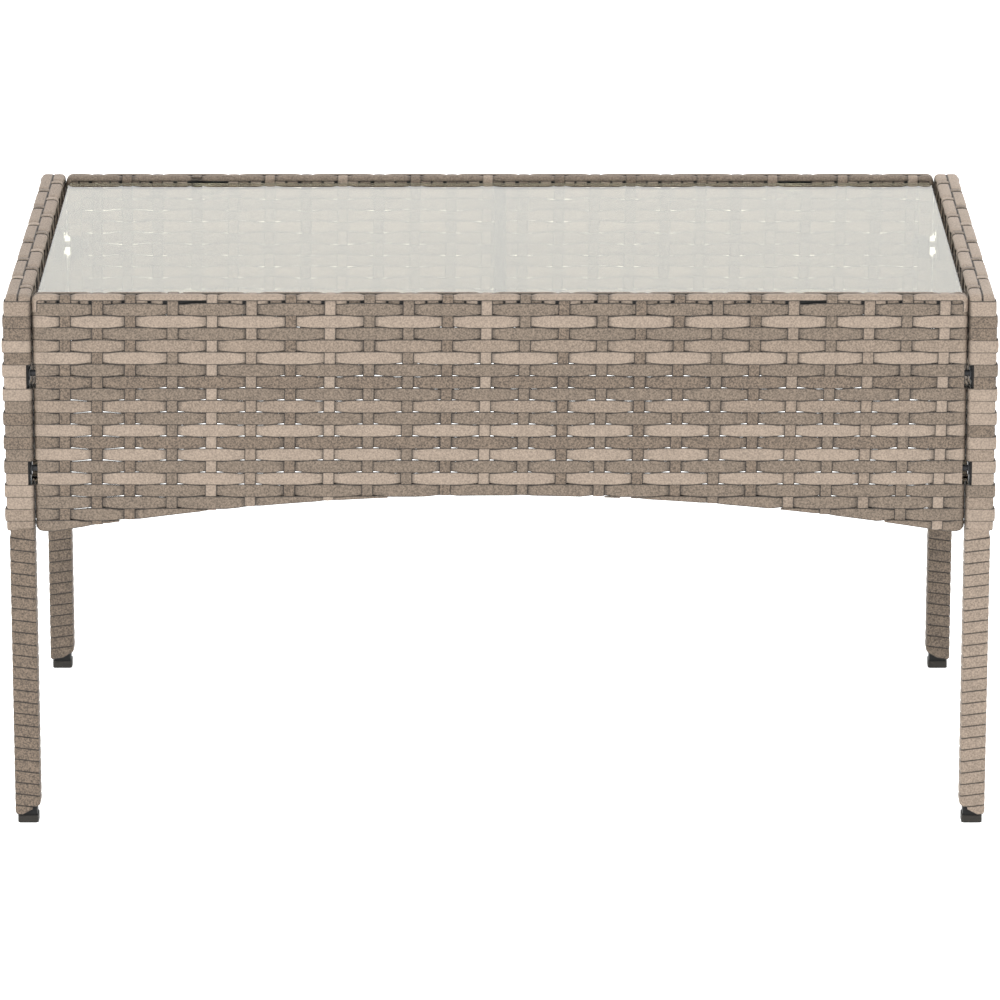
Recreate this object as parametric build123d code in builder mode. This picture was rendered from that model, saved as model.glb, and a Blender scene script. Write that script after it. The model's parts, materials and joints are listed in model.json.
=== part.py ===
from build123d import *
import math
import os

os.makedirs("parts", exist_ok=True)

# A low woven table: two side frames with legs, joined by a front and a rear apron
# panel, under a glass top. X runs along the table, Y from front to back, Z up.
# The origin is on the floor under the middle. All sizes are in millimetres.

# Overall size
table_width = 790.0
table_depth = 440.0
table_height = 438.0

# Square steel tube
tube_size = 15.0
tube_wall = 1.0
tube_corner = 2.0
panel_tube = 10.0
panel_corner = 1.5

# Wicker wrapped round the tubes, and woven between them
wrap_thickness = 2.8
wrap_corner = 2.5
rail_end_radius = 8.0
weave_bulge = 4.0
panel_wrap = 2.4
panel_wrap_corner = 2.0
panel_end_radius = 6.0
arch_clearance = 0.3

# Apron panels
apron_height = 193.0
arch_rise = 28.0
arch_half_span = 345.0
panel_gap = 0.5

# Feet
foot_size = 16.6
foot_height = 6.0
foot_corner = 2.5
plug_clearance = 0.1
plug_depth = 14.0
foot_wrap_gap = 2.0

# Glass top
glass_thickness = 5.0
glass_recess = 5.0
glass_side_gap = 2.7
glass_end_gap = 3.2
glass_corner = 6.0
glass_bevel = 0.8

# Suction pads under the glass
pad_x = 248.0
pad_inset = 17.0
pad_radius = 13.5
pad_disc = 2.5
pad_clearance = 0.25
boss_height = 7.0
boss_radius = 4.5
boss_tip_radius = 3.0
arm_width = 6.0
arm_thickness = 3.4
stud_radius = 2.0
stud_length = 6.0
pad_window = 20.0

# Frame bolts, two at each corner
bolt_drops = (65.0, 143.0)
bolt_radius = 2.5
bolt_clearance = 0.3
thread_clearance = 0.05
head_flats = 8.0
head_height = 4.0
washer_radius = 5.0
washer_thickness = 1.0
nut_flange_radius = 5.5
nut_flange = 1.0
nut_radius = 3.5
nut_depth = 9.0
bolt_tip = 1.5
bolt_window = 20.0
leg_window_depth = 4.0

# Derived sizes and places
tube_half = tube_size / 2
tube_bore = tube_size - 2 * tube_wall
wrap_size = tube_size + 2 * wrap_thickness
wrap_half = wrap_size / 2
leg_x = table_width / 2 - weave_bulge - wrap_half
leg_y = table_depth / 2 - wrap_half
rail_z = table_height - wrap_half
panel_end = leg_x - wrap_half - panel_gap
panel_half = panel_tube / 2
panel_bore = panel_tube - 2 * tube_wall
panel_wrap_size = panel_tube + 2 * panel_wrap
panel_wrap_half = panel_wrap_size / 2
panel_rail_z = table_height - panel_wrap_half
end_x = panel_end - panel_wrap_half
inner_x = end_x - panel_wrap_half
panel_inner_y = leg_y - panel_wrap_half
inner_y = leg_y - wrap_half
apron_bottom = table_height - apron_height
lower_rail_z = apron_bottom + wrap_half
arch_radius = (arch_half_span**2 + arch_rise**2) / (2 * arch_rise)
arch_centre_z = apron_bottom + arch_rise - arch_radius
arch_window = 4 * apron_height
bolt_levels = [table_height - drop for drop in bolt_drops]
glass_bottom = table_height - glass_recess - glass_thickness
pad_top = glass_bottom - pad_clearance
pad_y = panel_inner_y - pad_inset
rail_underside = panel_rail_z - panel_half
SIDES = {"left": -1, "right": 1}
FACES = {"front": -1, "rear": 1}


def arch_z(radius, x):
    """Height of an arc of the given radius about the arch's centre, at x."""
    return arch_centre_z + math.sqrt(radius**2 - x**2)


end_bottom = arch_z(arch_radius, inner_x)


def save(piece, node):
    """Label a finished piece and write it out."""
    piece.part.label = node
    export_step(piece.part, f"parts/{node}.step")


def upright(x, y, z):
    """Plane for a profile that is extruded upwards."""
    return Plane(origin=(x, y, z), x_dir=(1, 0, 0), z_dir=(0, 0, 1))


def along_y(x, y, z):
    """Plane for a profile that is extruded towards the back."""
    return Plane(origin=(x, y, z), x_dir=(1, 0, 0), z_dir=(0, 1, 0))


def along_x(x, y, z, side=1):
    """Plane for a profile that is extruded along X, away from or towards the middle."""
    return Plane(origin=(x, y, z), x_dir=(0, 1, 0), z_dir=(side, 0, 0))


def rail_tube(plane, length):
    """A straight square tube from a plane."""
    with BuildPart() as tube:
        with BuildSketch(plane):
            RectangleRounded(tube_size, tube_size, tube_corner)
            RectangleRounded(tube_bore, tube_bore, tube_corner - tube_wall, mode=Mode.SUBTRACT)
        extrude(amount=length)
    return tube


def leg_tube(side, face):
    """A leg, with a hole in its inner wall for each rivet nut."""
    x = side * leg_x
    y = face * leg_y
    with BuildPart() as leg:
        with BuildSketch(upright(x, y, foot_height)):
            RectangleRounded(tube_size, tube_size, tube_corner)
            RectangleRounded(tube_bore, tube_bore, tube_corner - tube_wall, mode=Mode.SUBTRACT)
        extrude(amount=rail_z - tube_half - foot_height)
        for z in bolt_levels:
            with BuildSketch(along_x(side * (leg_x - tube_half), y, z, side)):
                Circle(nut_radius)
            extrude(amount=2 * tube_wall, mode=Mode.SUBTRACT)
    return leg


def end_tube(side, face):
    """A panel's end upright, with bolt holes through both walls."""
    x = side * end_x
    y = face * leg_y
    with BuildPart() as post:
        with BuildSketch(upright(x, y, end_bottom + panel_wrap)):
            RectangleRounded(panel_tube, panel_tube, panel_corner)
            RectangleRounded(panel_bore, panel_bore, panel_corner - tube_wall, mode=Mode.SUBTRACT)
        extrude(amount=rail_underside - end_bottom - panel_wrap)
        for z in bolt_levels:
            with BuildSketch(along_x(x, y, z)):
                Circle(bolt_radius + bolt_clearance)
            extrude(amount=panel_tube, both=True, mode=Mode.SUBTRACT)
    return post


def panel_rail_tube(face):
    """A panel's top rail, with a hole in its underside for each pad's stud."""
    length = 2 * (end_x + panel_half)
    with BuildPart() as rail:
        with BuildSketch(along_x(-length / 2, face * leg_y, panel_rail_z)):
            RectangleRounded(panel_tube, panel_tube, panel_corner)
            RectangleRounded(panel_bore, panel_bore, panel_corner - tube_wall, mode=Mode.SUBTRACT)
        extrude(amount=length)
        with BuildSketch(Plane.XY.offset(rail_underside)):
            with Locations((pad_x, face * leg_y), (-pad_x, face * leg_y)):
                Circle(stud_radius)
        extrude(amount=2 * tube_wall, mode=Mode.SUBTRACT)
    return rail


def arch_tube(face):
    """A panel's arched lower tube, between its end uprights."""
    low = arch_radius + panel_wrap
    half = end_x - panel_half
    with BuildPart() as arch:
        with BuildSketch(along_y(0, face * leg_y, arch_centre_z)):
            Circle(low + panel_tube)
            Circle(low, mode=Mode.SUBTRACT)
            with Locations((0, -low)):
                Rectangle(2 * half, arch_window, mode=Mode.INTERSECT)
        extrude(amount=panel_half, both=True)
        with BuildSketch(along_y(0, face * leg_y, arch_centre_z)):
            Circle(low + panel_tube - tube_wall)
            Circle(low + tube_wall, mode=Mode.SUBTRACT)
            with Locations((0, -low)):
                Rectangle(2 * half, arch_window, mode=Mode.INTERSECT)
        extrude(amount=panel_half - tube_wall, both=True, mode=Mode.SUBTRACT)
    return arch


def centre_strut(face):
    """The bare upright in the middle of a panel."""
    bottom = arch_z(arch_radius + panel_wrap + panel_tube, 0)
    with BuildPart() as strut:
        with BuildSketch(upright(0, face * leg_y, bottom)):
            RectangleRounded(panel_tube, panel_tube, panel_corner)
            Rectangle(panel_bore, panel_bore, mode=Mode.SUBTRACT)
        extrude(amount=rail_underside - bottom)
    return strut


def side_rail_wrap(side):
    """The wicker round a side's top rail, over the tops of both legs."""
    length = 2 * (leg_y + wrap_half)
    with BuildPart() as wrap:
        with BuildSketch(along_x(side * leg_x, 0, rail_z)):
            Rectangle(length, wrap_size)
        extrude(amount=wrap_half, both=True)
        corners = wrap.edges().filter_by(Axis.X).group_by(Axis.Z)[-1]
        fillet(corners, rail_end_radius)
        with BuildSketch(along_x(side * leg_x, 0, rail_z)):
            Rectangle(length - 2 * wrap_thickness, tube_size)
        extrude(amount=tube_half, both=True, mode=Mode.SUBTRACT)
        with BuildSketch(Plane.XY.offset(rail_z - wrap_half)):
            with Locations((side * leg_x, leg_y), (side * leg_x, -leg_y)):
                Rectangle(tube_size, tube_size)
        extrude(amount=wrap_thickness, mode=Mode.SUBTRACT)
    return wrap


def lower_rail_wrap(side):
    """The wicker round a side's lower rail, between its legs."""
    with BuildPart() as wrap:
        with BuildSketch(along_y(side * leg_x, -inner_y, lower_rail_z)):
            RectangleRounded(wrap_size, wrap_size, wrap_corner)
            Rectangle(tube_size, tube_size, mode=Mode.SUBTRACT)
        extrude(amount=2 * inner_y)
    return wrap


def leg_wrap(side, face):
    """The wicker round a leg, thicker outwards where the side weave turns round it."""
    x = side * leg_x
    y = face * leg_y
    top = rail_z - wrap_half
    bottom = foot_height + foot_wrap_gap
    window_x = side * (leg_x - wrap_half)
    window_reach = wrap_thickness + leg_window_depth
    with BuildPart() as wrap:
        with BuildSketch(upright(x, y, bottom)):
            RectangleRounded(wrap_size, wrap_size, wrap_corner)
        extrude(amount=top - bottom)
        with BuildSketch(upright(x + side * weave_bulge / 2, y, apron_bottom)):
            RectangleRounded(wrap_size + weave_bulge, wrap_size, wrap_corner)
        extrude(amount=top - apron_bottom)
        with BuildSketch(upright(x, y, bottom)):
            Rectangle(tube_size, tube_size)
        extrude(amount=top - bottom, mode=Mode.SUBTRACT)
        with BuildSketch(along_y(x, y, lower_rail_z)):
            Rectangle(tube_size, tube_size)
        extrude(amount=-face * wrap_half, mode=Mode.SUBTRACT)
        for z in bolt_levels:
            with BuildSketch(along_x(window_x, y, z, side)):
                Rectangle(wrap_size, bolt_window)
            extrude(amount=window_reach, mode=Mode.SUBTRACT)
    return wrap


def panel_rail_wrap(face):
    """The wicker round a panel's top rail, open round the suction pads' arms."""
    y = face * leg_y
    bottom = panel_rail_z - panel_wrap_half
    pad_face = face * panel_inner_y
    with BuildPart() as wrap:
        with BuildSketch(Plane(origin=(0, y, panel_rail_z), x_dir=(1, 0, 0), z_dir=(0, -1, 0))):
            Rectangle(2 * panel_end, panel_wrap_size)
        extrude(amount=panel_wrap_half, both=True)
        corners = wrap.edges().filter_by(Axis.Y).group_by(Axis.Z)[-1]
        fillet(corners, panel_end_radius)
        with BuildSketch(Plane(origin=(0, y, panel_rail_z), x_dir=(1, 0, 0), z_dir=(0, -1, 0))):
            Rectangle(2 * (end_x + panel_half), panel_tube)
        extrude(amount=panel_half, both=True, mode=Mode.SUBTRACT)
        with BuildSketch(Plane.XY.offset(bottom)):
            with Locations((end_x, y), (0, y), (-end_x, y)):
                Rectangle(panel_tube, panel_tube)
            with Locations((pad_x, y), (-pad_x, y)):
                Rectangle(pad_window, panel_tube)
        extrude(amount=panel_wrap, mode=Mode.SUBTRACT)
        with BuildSketch(Plane.XY.offset(bottom)):
            with Locations((pad_x, pad_face), (-pad_x, pad_face)):
                Rectangle(pad_window, 2 * panel_wrap)
        extrude(amount=panel_wrap_size, mode=Mode.SUBTRACT)
    return wrap


def end_wrap(side, face):
    """The wicker round a panel's end upright, with windows for the bolts."""
    x = side * end_x
    y = face * leg_y
    top = panel_rail_z - panel_wrap_half
    arch_room = arch_z(arch_radius + panel_wrap + panel_tube, inner_x) - end_bottom
    with BuildPart() as wrap:
        with BuildSketch(upright(x, y, end_bottom)):
            RectangleRounded(panel_wrap_size, panel_wrap_size, panel_wrap_corner)
            Rectangle(panel_tube, panel_tube, mode=Mode.SUBTRACT)
        extrude(amount=top - end_bottom)
        with BuildSketch(upright(side * inner_x, y, end_bottom)):
            Rectangle(2 * panel_wrap, panel_tube)
        extrude(amount=arch_room + arch_clearance, mode=Mode.SUBTRACT)
        for z in bolt_levels:
            for wall_x in (inner_x, panel_end):
                with BuildSketch(along_x(side * wall_x, y, z)):
                    Rectangle(panel_tube, bolt_window)
                extrude(amount=panel_wrap, both=True, mode=Mode.SUBTRACT)
    return wrap


def arch_wrap(face):
    """The wicker round a panel's arched tube."""
    y = face * leg_y
    bore_low = arch_radius + panel_wrap
    with BuildPart() as wrap:
        with BuildSketch(along_y(0, y, arch_centre_z)):
            Circle(arch_radius + panel_wrap_size)
            Circle(arch_radius, mode=Mode.SUBTRACT)
            with Locations((0, -arch_radius)):
                Rectangle(2 * inner_x, arch_window, mode=Mode.INTERSECT)
        extrude(amount=panel_wrap_half, both=True)
        with BuildSketch(along_y(0, y, arch_centre_z)):
            Circle(bore_low + panel_tube)
            Circle(bore_low, mode=Mode.SUBTRACT)
            with Locations((0, -arch_radius)):
                Rectangle(2 * inner_x, arch_window, mode=Mode.INTERSECT)
        extrude(amount=panel_half, both=True, mode=Mode.SUBTRACT)
        with BuildSketch(upright(0, y, arch_z(arch_radius + panel_tube, 0))):
            Rectangle(panel_tube, panel_tube)
        extrude(amount=panel_wrap_size, mode=Mode.SUBTRACT)
    return wrap


def panel_sheet(face):
    """The woven sheet of a panel, flush with the wraps' outer face."""
    top = panel_rail_z - panel_wrap_half
    outer_y = face * (leg_y + panel_wrap_half)
    with BuildPart() as sheet:
        with BuildSketch(along_y(0, outer_y, top)):
            with Locations((0, apron_height / 2)):
                Rectangle(2 * inner_x, apron_height)
            with Locations((0, top - arch_centre_z)):
                Circle(arch_radius + panel_wrap_size + arch_clearance, mode=Mode.SUBTRACT)
        extrude(amount=-face * panel_wrap)
    return sheet


def side_sheet(side):
    """The woven sheet of a side, flush with the rail wraps' outer face."""
    bottom = lower_rail_z + wrap_half
    height = rail_z - wrap_half - bottom
    with BuildPart() as sheet:
        with BuildSketch(along_x(side * (leg_x + wrap_half), 0, bottom + height / 2, -side)):
            Rectangle(2 * inner_y, height)
        extrude(amount=wrap_thickness)
    return sheet


def foot_cap(side, face):
    """A plastic foot with a plug that stands inside the leg."""
    plug = tube_bore - 2 * plug_clearance
    with BuildPart() as foot:
        with BuildSketch(upright(side * leg_x, face * leg_y, 0)):
            RectangleRounded(foot_size, foot_size, foot_corner)
        extrude(amount=foot_height)
        with BuildSketch(upright(side * leg_x, face * leg_y, foot_height)):
            RectangleRounded(plug, plug, tube_corner - tube_wall)
        extrude(amount=plug_depth)
    return foot


def suction_pad(side, face):
    """A clear pad: disc, tapered boss, and an arm whose stud stands in the rail."""
    x = side * pad_x
    y = face * pad_y
    rail_y = face * leg_y
    arm_end = rail_y + face * arm_width / 2
    with BuildPart() as pad:
        with BuildSketch(upright(x, y, pad_top - pad_disc)):
            Circle(pad_radius)
        extrude(amount=pad_disc)
        with BuildSketch(upright(x, y, pad_top - pad_disc)):
            Circle(boss_radius)
        with BuildSketch(upright(x, y, pad_top - pad_disc - boss_height)):
            Circle(boss_tip_radius)
        loft()
        with BuildSketch(upright(x, (y + arm_end) / 2, rail_underside - arm_thickness)):
            Rectangle(arm_width, abs(arm_end - y))
        extrude(amount=arm_thickness)
        with BuildSketch(upright(x, rail_y, rail_underside)):
            Circle(stud_radius)
        extrude(amount=stud_length)
    return pad


def glass_top():
    """The loose glass plate, with bevelled edges."""
    width = 2 * (leg_x - wrap_half - glass_side_gap)
    depth = 2 * (panel_inner_y - glass_end_gap)
    with BuildPart() as glass:
        with BuildSketch(Plane.XY.offset(glass_bottom)):
            RectangleRounded(width, depth, glass_corner)
        extrude(amount=glass_thickness)
        rims = glass.faces().filter_by(Axis.Z).edges()
        chamfer(rims, glass_bevel)
    return glass


def bolt_places():
    """Side, face and height of every frame bolt."""
    return [(side, face, z) for side in SIDES.values() for face in FACES.values() for z in bolt_levels]


def frame_bolts():
    """Hexagon bolts, from the panel's end upright into the leg's rivet nut."""
    seat_x = end_x - panel_half - washer_thickness
    tip_x = leg_x - tube_half + nut_depth + bolt_tip
    with BuildPart() as bolts:
        for side, face, z in bolt_places():
            with BuildSketch(along_x(side * seat_x, face * leg_y, z, -side)):
                RegularPolygon(head_flats / 2, 6, major_radius=False)
            extrude(amount=head_height)
            with BuildSketch(along_x(side * seat_x, face * leg_y, z, side)):
                Circle(bolt_radius)
            extrude(amount=tip_x - seat_x)
    return bolts


def bolt_washers():
    """A washer under each bolt's head."""
    with BuildPart() as washers:
        for side, face, z in bolt_places():
            with BuildSketch(along_x(side * (end_x - panel_half), face * leg_y, z, -side)):
                Circle(washer_radius)
                Circle(bolt_radius + thread_clearance, mode=Mode.SUBTRACT)
            extrude(amount=washer_thickness)
    return washers


def rivet_nuts():
    """A flanged nut set in the leg's inner wall for each bolt."""
    seat_x = leg_x - tube_half
    with BuildPart() as nuts:
        for side, face, z in bolt_places():
            with BuildSketch(along_x(side * seat_x, face * leg_y, z, -side)):
                Circle(nut_flange_radius)
                Circle(bolt_radius + thread_clearance, mode=Mode.SUBTRACT)
            extrude(amount=nut_flange)
            with BuildSketch(along_x(side * seat_x, face * leg_y, z, side)):
                Circle(nut_radius)
                Circle(bolt_radius + thread_clearance, mode=Mode.SUBTRACT)
            extrude(amount=nut_depth)
    return nuts


rail_length = 2 * (leg_y + tube_half)
lower_length = 2 * (leg_y - tube_half)

for side_name, side in SIDES.items():
    save(rail_tube(along_y(side * leg_x, -rail_length / 2, rail_z), rail_length), f"{side_name}_top_rail_tube")
    save(
        rail_tube(along_y(side * leg_x, -lower_length / 2, lower_rail_z), lower_length),
        f"{side_name}_lower_rail_tube",
    )
    save(side_rail_wrap(side), f"{side_name}_top_rail_wrap")
    save(lower_rail_wrap(side), f"{side_name}_lower_rail_wrap")
    save(side_sheet(side), f"{side_name}_weave_sheet")
    for face_name, face in FACES.items():
        save(leg_tube(side, face), f"{side_name}_{face_name}_leg_tube")
        save(leg_wrap(side, face), f"{side_name}_{face_name}_leg_wrap")
        save(foot_cap(side, face), f"{side_name}_{face_name}_foot")

for face_name, face in FACES.items():
    save(panel_rail_tube(face), f"{face_name}_top_rail_tube")
    save(arch_tube(face), f"{face_name}_arch_tube")
    save(centre_strut(face), f"{face_name}_centre_strut")
    save(panel_rail_wrap(face), f"{face_name}_top_rail_wrap")
    save(arch_wrap(face), f"{face_name}_arch_wrap")
    save(panel_sheet(face), f"{face_name}_weave_sheet")
    for side_name, side in SIDES.items():
        save(end_tube(side, face), f"{face_name}_{side_name}_end_tube")
        save(end_wrap(side, face), f"{face_name}_{side_name}_end_wrap")
        save(suction_pad(side, face), f"{face_name}_{side_name}_pad")

save(glass_top(), "glass_top")
save(frame_bolts(), "frame_bolts")
save(bolt_washers(), "bolt_washers")
save(rivet_nuts(), "rivet_nuts")
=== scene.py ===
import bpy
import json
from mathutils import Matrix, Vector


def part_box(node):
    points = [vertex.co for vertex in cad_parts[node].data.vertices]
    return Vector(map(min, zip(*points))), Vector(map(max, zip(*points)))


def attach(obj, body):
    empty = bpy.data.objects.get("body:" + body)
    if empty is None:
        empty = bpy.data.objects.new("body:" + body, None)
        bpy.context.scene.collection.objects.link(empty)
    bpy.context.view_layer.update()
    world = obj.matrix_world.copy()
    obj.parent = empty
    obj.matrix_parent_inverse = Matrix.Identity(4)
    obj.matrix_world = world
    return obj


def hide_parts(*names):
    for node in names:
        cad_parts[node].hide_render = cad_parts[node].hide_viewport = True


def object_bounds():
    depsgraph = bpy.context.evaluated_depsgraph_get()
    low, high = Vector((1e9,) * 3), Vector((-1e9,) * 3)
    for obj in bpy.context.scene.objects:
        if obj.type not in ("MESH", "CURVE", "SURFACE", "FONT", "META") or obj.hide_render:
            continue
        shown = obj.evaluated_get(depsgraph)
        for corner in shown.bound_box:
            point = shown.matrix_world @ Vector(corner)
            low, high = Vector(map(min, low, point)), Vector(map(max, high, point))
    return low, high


bl_info = {
    "name": "Wicker Coffee Table",
    "version": (1, 0, 0),
    "blender": (4, 5, 0),
    "location": "View3D > Sidebar > Coffee Table",
    "description": "Weaves the strands of a wicker coffee table round its packed frame",
    "category": "Object",
}

import json
import math
import random

import bpy
import numpy as np
from mathutils import Vector

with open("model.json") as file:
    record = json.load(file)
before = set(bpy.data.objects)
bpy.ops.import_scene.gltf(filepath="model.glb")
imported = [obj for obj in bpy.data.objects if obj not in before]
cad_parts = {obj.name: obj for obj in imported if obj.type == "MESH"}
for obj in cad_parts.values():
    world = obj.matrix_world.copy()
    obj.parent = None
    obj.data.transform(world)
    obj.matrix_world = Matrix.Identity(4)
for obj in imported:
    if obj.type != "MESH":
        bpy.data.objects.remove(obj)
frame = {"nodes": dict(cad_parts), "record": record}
cad_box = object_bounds()

# Places and sizes read from the frame, in metres
STRUT_LOW, STRUT_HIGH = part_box("front_centre_strut")
RAIL_LOW, RAIL_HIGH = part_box("front_top_rail_tube")
LEG_LOW, LEG_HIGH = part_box("right_front_leg_tube")
SIDE_RAIL_LOW, SIDE_RAIL_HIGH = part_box("right_top_rail_tube")
LOWER_RAIL_LOW, LOWER_RAIL_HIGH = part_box("right_lower_rail_tube")
PAD_LOW, PAD_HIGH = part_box("front_right_pad")
BOLTS = frame["nodes"]["frame_bolts"].data.vertices

TABLE_TOP = cad_box[1].z
PANEL_Y = (STRUT_LOW.y + STRUT_HIGH.y) / 2
PANEL_HALF = (STRUT_HIGH.y - STRUT_LOW.y) / 2
PANEL_RAIL_Z = (RAIL_LOW.z + RAIL_HIGH.z) / 2
PANEL_TUBE_END = RAIL_HIGH.x
PANEL_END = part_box("front_top_rail_wrap")[1].x
PANEL_SKIN = TABLE_TOP - PANEL_RAIL_Z
LEG_X = (LEG_LOW.x + LEG_HIGH.x) / 2
LEG_Y = (LEG_LOW.y + LEG_HIGH.y) / 2
LEG_HALF = (LEG_HIGH.x - LEG_LOW.x) / 2
SIDE_RAIL_Z = (SIDE_RAIL_LOW.z + SIDE_RAIL_HIGH.z) / 2
SIDE_SKIN = TABLE_TOP - SIDE_RAIL_Z
LOWER_RAIL_Z = (LOWER_RAIL_LOW.z + LOWER_RAIL_HIGH.z) / 2
APRON_BOTTOM = LOWER_RAIL_Z - SIDE_SKIN
WOVEN_SIDE_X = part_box("right_front_leg_wrap")[1].x
PAD_X = (PAD_LOW.x + PAD_HIGH.x) / 2
FOOT_TOP = LEG_LOW.z

# Each bolt shows in a gap of the wicker, whose middle lies a little nearer the apron's middle
WINDOW_SHIFT = 0.004
WINDOW_HEIGHTS = (max(v.co.z for v in BOLTS) - WINDOW_SHIFT, min(v.co.z for v in BOLTS) + WINDOW_SHIFT)
WINDOW_EDGE = 0.001

# How a strand is rounded across: places from edge to edge, and how far each lies under its crown
ACROSS = np.array((-1.0, -0.84, 0.0, 0.84, 1.0))
SINK = np.array((0.00075, 0.00022, 0.0, 0.00022, 0.00075))
RING_ACROSS = np.array((-1.0, 0.0, 1.0))
RING_SINK = np.array((0.0007, 0.0, 0.0007))
FOLD_ACROSS = np.array((0.0, 0.07, 0.4, 0.62, 0.8, 0.93, 1.0))
FOLD_SINK = np.array((0.00075, 0.0002, 0.0, 0.0, 0.0, 0.0002, 0.00075))
ARC_STEPS = 3
SMOOTH_ANGLE = math.radians(48)

# How far in from a strand's edge its line of painted shade ends and where its full colour starts
EDGE_LINE = (0.00045, 0.00115)

# The weave, by the distance from a strand that crosses over: where a row comes out again, where its
# painted shade ends, and where it has its full width again. Then where a strand on a top rail comes out.
SINK_RANGE = (0.0032, 0.0095)
SHADE_RANGE = (0.0047, 0.0060)
PINCH_RANGE = (0.006, 0.019)
TOP_SINK_RANGE = (0.0035, 0.0105)

# What stays of a strand that is cut back: its least width, and its least length in columns
NARROWEST = 0.0013
SHORTEST_RUN = 4

# The stakes of a panel: the outer left ones, then an even row that bows a little to the right
OUTER_STAKES = (-0.345, -0.3195, -0.2935)
FIRST_EVEN_STAKE = -0.260
EVEN_STAKES = 21
STAKE_BOW = 0.0042

# How far a panel's strands lie off its tubes, and how tightly they turn round them
PANEL_OFF = 0.0012
PANEL_TURN = 0.0026

# Where a panel's row lies flat and where painted shade darkens its seam, from its tube's end and from the
# panel's end
PANEL_END_FLAT = (-0.012, -0.002)
PANEL_SEAM = (-0.0025, -0.0008)

# Room under a row and a stake at the panel's lower edge, and beside a stake at a pad's arm
PANEL_ROW_ROOM = 0.0008
PANEL_STAKE_ROOM = 0.0011
PAD_ROOM = 0.004
ARCH_OVERRUN = 0.01

# How a row waves up and down: its height, and the least and most of its rate and of its start
ROW_WAVE = 0.00012
WAVE_RATES = (18, 40)
WAVE_STARTS = (0, 6)

# How long a stake's faces are on a panel and on a side, and how deep the painted shade gets where a stake
# dives under a row
PANEL_STAKE_STEP = 0.0027
SIDE_STAKE_STEP = 0.0033
STAKE_SHADE = 0.8
STAKE_SHADE_RANGE = (0.1, 0.9)

# The wraps of the rails: how deep they lie, how tightly they turn, and the gaps beside them
PANEL_RING_DEPTH = 0.0014
PANEL_RING_TURN = 0.0028
PANEL_RING_END = 0.002
SIDE_RING_TURN = 0.003
RING_GAP = 0.0002
RING_STAKE_ROOM = 0.0048
RING_THICKNESS = 0.0009

# The lengthwise strands over the top rails: the radius they fold round, where their inner edge is,
# and for panels and sides how far they reach over, how deep they sink and how far they come out
FOLD_RADIUS = 0.004
FOLD_START = 0.00015
PANEL_FOLD = 0.0102
PANEL_FOLD_FOOT = 0.0135
PANEL_FOLD_SINK = 0.0009
PANEL_FOLD_RISE = 0.0010
SIDE_FOLD = 0.0122
SIDE_FOLD_SINK = 0.0013
SIDE_FOLD_RISE = 0.0014
SIDE_FOLD_THICKNESS = 0.0014

# How far a side's strands lie off its tubes, and how tightly they turn round them
SIDE_OFF = 0.0016
SIDE_ROW_TURN = 0.0034
SIDE_STAKE_TURN = 0.003

# The stakes of a side, and the depth and half width of where they cross their top rail
SIDE_STAKE_PITCH = 0.0307
SIDE_STAKES = 13
OVER_RAIL = 0.0035
OVER_RAIL_SWAP = 0.002

# The ends of a side's rows: past a leg's inner wall at a bolt, behind the leg, and where painted shade
# darkens them beside it
SIDE_CUT = 0.0018
SIDE_TURN_END = 0.004
SIDE_SEAM = (0.0022, 0.0005)

# A side's rows between the legs: how far out, how high over the lower edge, and where they begin,
# from a leg's middle
WOVEN_OFF = 0.0006
SIDE_ROW_ROOM = 0.0004
WOVEN_RANGE = (-0.014, 0.002)

# A side's rows round a leg: how far even and odd ones lie under the wicker's outer face, how much
# prouder than its rail each next one may stand, and how far they lie under the leg's front face
ROW_UNDER_SKIN = (0.0006, 0.0020)
ROW_DRAW = 0.0012
ROW_FACE = 0.0006

# The top row stands out from the leg's front face, and its upper edge rises to the rail round a leg
TOP_ROW_FACE = -0.0003
TOP_ROW_LIFT = 0.0022
TOP_ROW_LIFT_RANGE = (-0.012, 0.002)

# A leg's strand: its corners, how far it runs on at both ends, its overlap, thickness and least width
LEG_TURN = 0.0026
LEG_OVERRUN = 0.004
LEG_OVERLAP = 0.0002
LEG_THICKNESS = 0.0024
LEG_NARROWEST = 0.0012

# Inside the apron a leg's strand is drawn in, to lie under the side's rows, and leaves the bolts free
LEG_NARROWER = 0.0011
LEG_NARROW_RANGE = (-0.004, 0.001)
LEG_WINDOW_ROOM = 0.006
LEG_WINDOW_DEPTH = 0.004

# The slanted cut above the foot: its lowest place, how steeply it rises each way, and its room
CUT_CORNER = -0.0052
CUT_SLOPES = (0.586, 0.45)
CUT_ROOM = 0.0003

# Strand colours: place on the ramp from dark to light, and how strongly the strand is speckled.
# Rows are listed from the top down, and stakes and fold strands in the order they are made.
TONES = {"D": (0.0, 1.0), "M": (0.33, 0.75), "B": (0.67, 0.5), "P": (0.86, 0.45), "L": (1.0, 0.3)}
ROWS = range(1, 20)
PANEL_ROW_TONES = "MLMBLMDMBMLDLMLMMMM"
PANEL_STAKE_TONES = "DDDMLBDLMMDLMDMDDMDBMBML"
PANEL_FOLD_TONES = "LM"
PANEL_RING_TONES = "LLBBM"
SIDE_STAKE_TONES = "BLDMLDMLBDLMB"
SIDE_RING_TONES = "MMBD"
SIDE_FOLD_TONES = {"left": "B", "right": "L"}
LEG_ROW_TONES = {
    "left": "BDDLDLLLMDMDMMLLLBB",
    "right": "LDDLLMDLLLDLBLLMBLL",
}

# The tone of each leg's strand, and how much painted shade darkens it, for the rear legs that lie in
# shade
LEG_TONES = {
    "left_front": ("D", 0),
    "right_front": ("P", 0),
    "left_rear": ("D", 0.25),
    "right_rear": ("D", 0.2),
}

# Seeds of the wraps' tones
RING_SEEDS = {"panel_top": 11, "panel_arch": 12, "side_top": 21, "side_lower": 22}

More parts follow.
